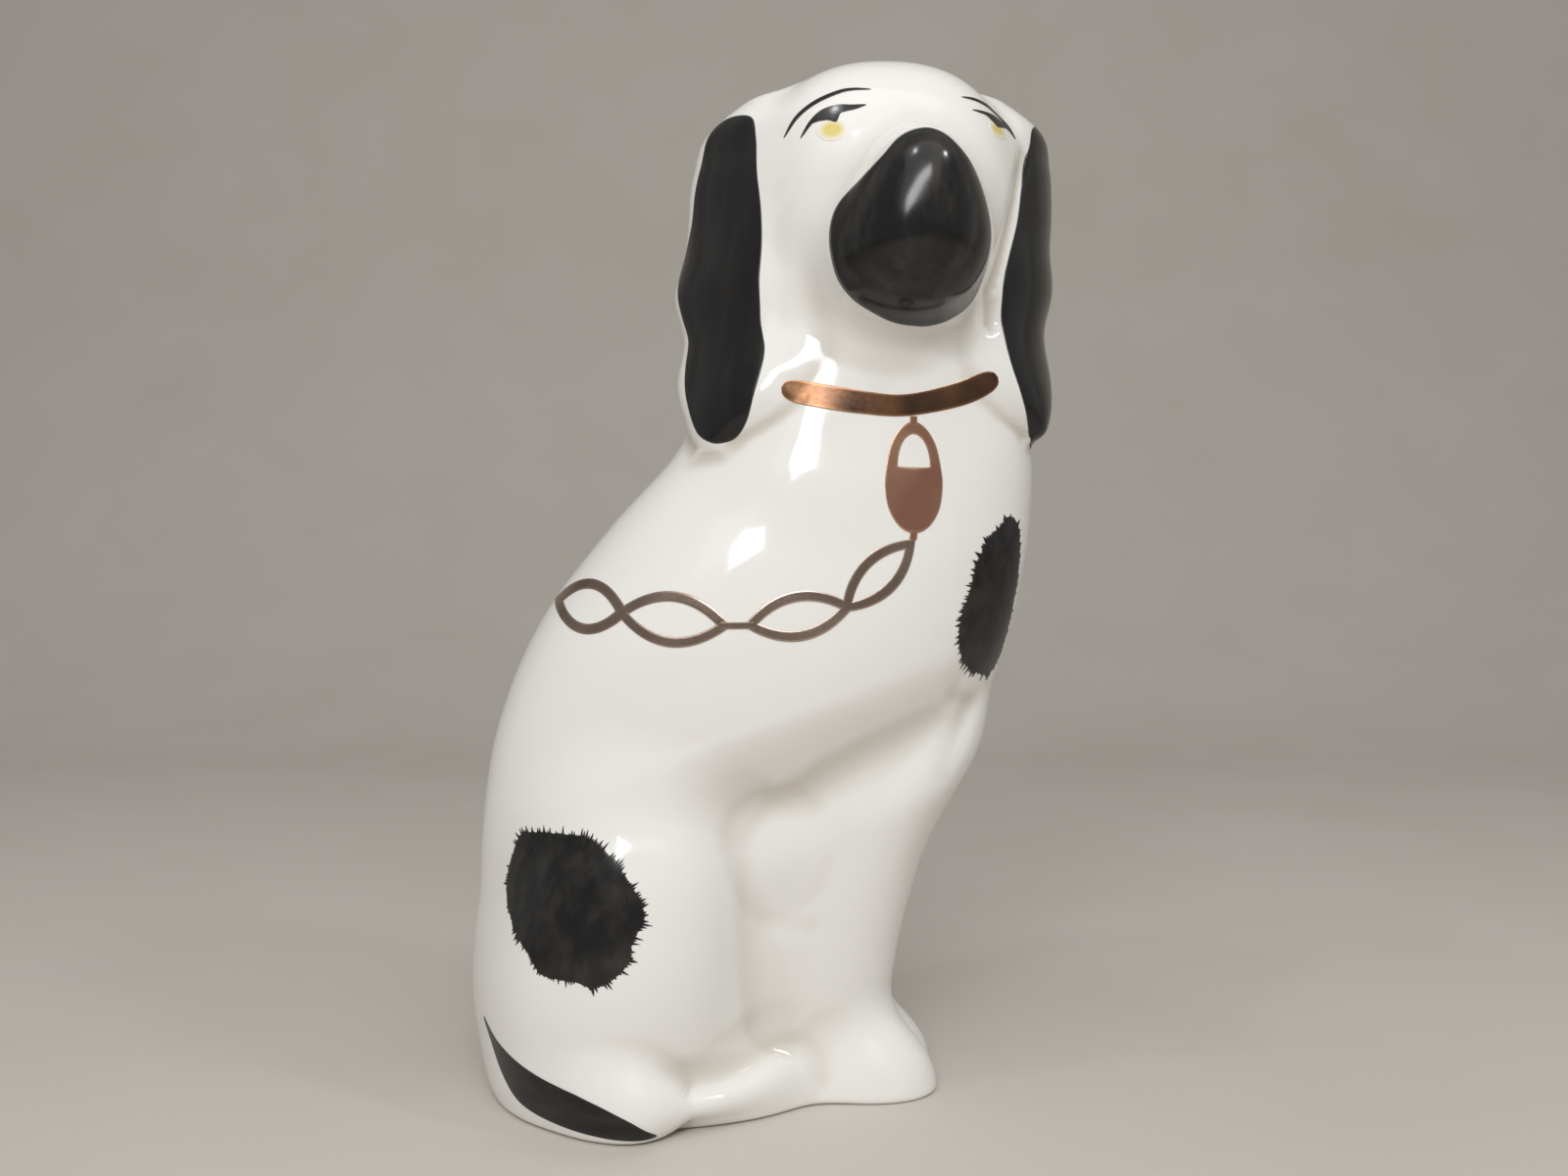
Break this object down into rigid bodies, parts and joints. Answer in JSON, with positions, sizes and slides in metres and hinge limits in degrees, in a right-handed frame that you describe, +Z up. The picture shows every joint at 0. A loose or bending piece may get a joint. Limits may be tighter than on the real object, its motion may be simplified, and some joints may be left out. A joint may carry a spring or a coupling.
{
  "type": "staffordshire dog figure",
  "caption": "Seated pottery spaniel in profile with its head turned to the viewer: hollow white-glazed body, black ears, muzzle and spots, gilt collar, padlock and chain; a mantel ornament.",
  "frame": {"origin": "centre of the figure's bounding box, on the plane the foot rests on", "axes": "+Z up, -Y the show side that faces the viewer, +X towards the dog's chest"},
  "size_m": [0.1399, 0.0956, 0.2397],
  "materials": {
    "glazed_earthenware": "warm white earthenware under a clear glossy lead glaze",
    "biscuit_earthenware": "unglazed fired clay",
    "black_enamel": "glossy black enamel brushed on the glaze and fired",
    "yellow_enamel": "thin yellow enamel, fired",
    "gilding": "worn brown-gold lustre, fired"
  },
  "bodies": {
    "root": {"front_shell": "glazed_earthenware", "back_shell": "glazed_earthenware", "base_slab": "biscuit_earthenware", "seam_roll": "biscuit_earthenware", "right_ear_enamel": "black_enamel", "left_ear_enamel": "black_enamel", "muzzle_enamel": "black_enamel", "right_brow_line": "black_enamel", "left_brow_line": "black_enamel", "right_eyelid_line": "black_enamel", "left_eyelid_line": "black_enamel", "right_iris_enamel": "yellow_enamel", "left_iris_enamel": "yellow_enamel", "collar_gilding": "gilding", "padlock_gilding": "gilding", "chain_gilding": "gilding", "chest_spot_enamel": "black_enamel", "haunch_spot_enamel": "black_enamel", "tail_enamel": "black_enamel"}
  },
  "joints": []
}
